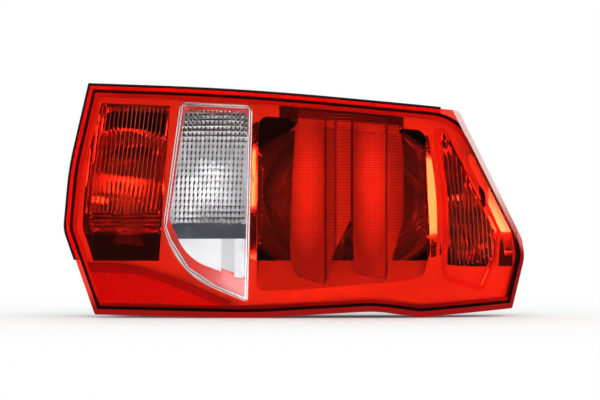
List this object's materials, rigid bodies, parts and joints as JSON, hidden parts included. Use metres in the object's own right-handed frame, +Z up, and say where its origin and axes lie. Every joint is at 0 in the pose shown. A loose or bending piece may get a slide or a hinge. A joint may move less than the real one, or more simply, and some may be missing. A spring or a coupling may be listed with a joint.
{
  "type": "tail light cluster",
  "caption": "Right-hand rear combination lamp: red wraparound lens with fluted optics, clear reversing window and reflex plate, on a black studded housing with bulb carrier.",
  "frame": {"origin": "middle of the two mounting studs, on the seat face against the body", "axes": "+X outboard along the lamp's length, +Y into the vehicle along the studs, +Z up; the lens faces -Y"},
  "size_m": [0.3942, 0.122, 0.1989],
  "materials": {
    "red_lens": "clear red acrylic, polished",
    "clear_lens": "clear acrylic, polished",
    "reflex_red": "red acrylic with prisms on its back",
    "column_red": "clear red acrylic with fine pillow optics",
    "mirror_coat": "plastic with a bright vacuum-metallised coat",
    "black_housing": "black moulded plastic, fine grain",
    "grey_carrier": "grey moulded plastic",
    "seal_rubber": "soft black rubber",
    "pale_foam": "pale closed-cell foam",
    "brass_strip": "stamped brass",
    "plated_steel": "zinc-plated steel",
    "bulb_glass": "clear blown glass",
    "bulb_cap": "nickel-plated brass",
    "filament_metal": "lead wires and coil on a glass bead"
  },
  "bodies": {
    "root": {"outer_lens": "red_lens", "reversing_window": "clear_lens", "reflex_reflector": "reflex_red", "stop_tail_inner_lens": "column_red", "reflector": "mirror_coat", "housing": "black_housing", "lens_seal": "pale_foam", "flange_tape": "pale_foam", "bulb_carrier": "grey_carrier", "carrier_seal": "seal_rubber", "carrier_screws": "plated_steel", "earth_track": "brass_strip", "turn_bulb_holder": "black_housing", "turn_holder_seal": "seal_rubber", "turn_terminals": "brass_strip", "mounting_studs": "plated_steel", "body_gasket": "seal_rubber", "vent_caps": "seal_rubber", "fog_bulb_glass": "bulb_glass", "fog_bulb_cap": "bulb_cap", "fog_bulb_filament": "filament_metal", "fog_track": "brass_strip", "reversing_bulb_glass": "bulb_glass", "reversing_bulb_cap": "bulb_cap", "reversing_bulb_filament": "filament_metal", "reversing_track": "brass_strip", "stop_bulb_glass": "bulb_glass", "stop_bulb_cap": "bulb_cap", "stop_bulb_filament": "filament_metal", "stop_track": "brass_strip", "tail_bulb_glass": "bulb_glass", "tail_bulb_cap": "bulb_cap", "tail_bulb_filament": "filament_metal", "tail_track": "brass_strip", "turn_bulb_glass": "bulb_glass", "turn_bulb_cap": "bulb_cap", "turn_bulb_filament": "filament_metal"}
  },
  "joints": []
}
